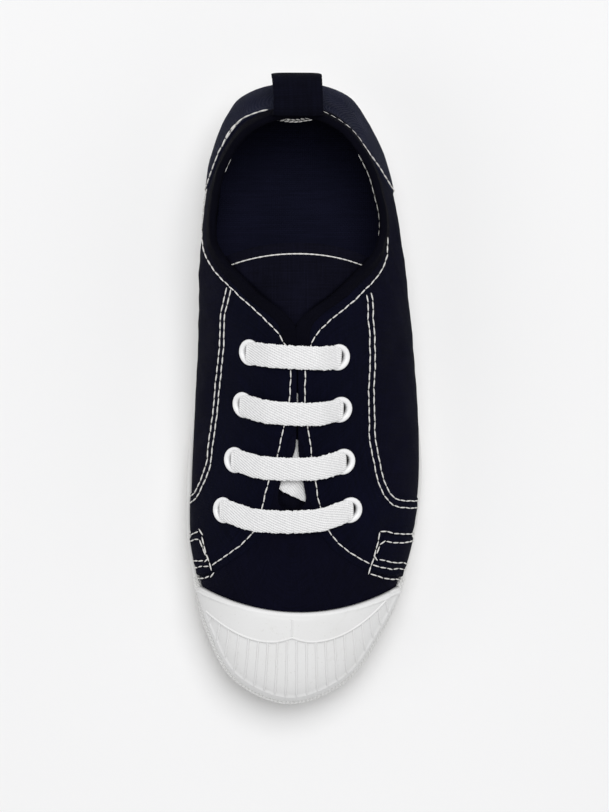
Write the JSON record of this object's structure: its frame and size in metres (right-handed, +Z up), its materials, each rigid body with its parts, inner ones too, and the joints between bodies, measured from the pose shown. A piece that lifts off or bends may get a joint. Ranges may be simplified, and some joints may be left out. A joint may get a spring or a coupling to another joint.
{
  "type": "canvas sneaker",
  "caption": "Low lace-up canvas sneaker for the left foot: hollow upper, rubber sole with side strip, ribbed toe cap, straight-laced throat and heel loop.",
  "frame": {"origin": "on the floor under the middle of the heel, on the heel's tread", "axes": "+Z up, toe towards -Y, +X to the outer (little toe) side"},
  "size_m": [0.0952, 0.2522, 0.0784],
  "materials": {
    "canvas": "matte dark navy cotton canvas",
    "lining": "matte dark navy woven lining",
    "webbing": "ribbed dark navy webbing",
    "thread": "off-white sewing thread",
    "lace": "white flat woven cotton lace",
    "rubber": "satin white vulcanised rubber",
    "painted_eyelet": "white enamelled eyelet"
  },
  "bodies": {
    "root": {"outsole": "rubber", "foxing": "rubber", "toe_cap": "rubber", "insole": "lining", "upper": "canvas", "tongue": "canvas", "pull_loop": "webbing", "eyelet_1_inner": "painted_eyelet", "eyelet_1_outer": "painted_eyelet", "eyelet_2_inner": "painted_eyelet", "eyelet_2_outer": "painted_eyelet", "eyelet_3_inner": "painted_eyelet", "eyelet_3_outer": "painted_eyelet", "eyelet_4_inner": "painted_eyelet", "eyelet_4_outer": "painted_eyelet", "lace_bar_1": "lace", "lace_bar_2": "lace", "lace_bar_3": "lace", "lace_bar_4": "lace"}
  },
  "joints": []
}
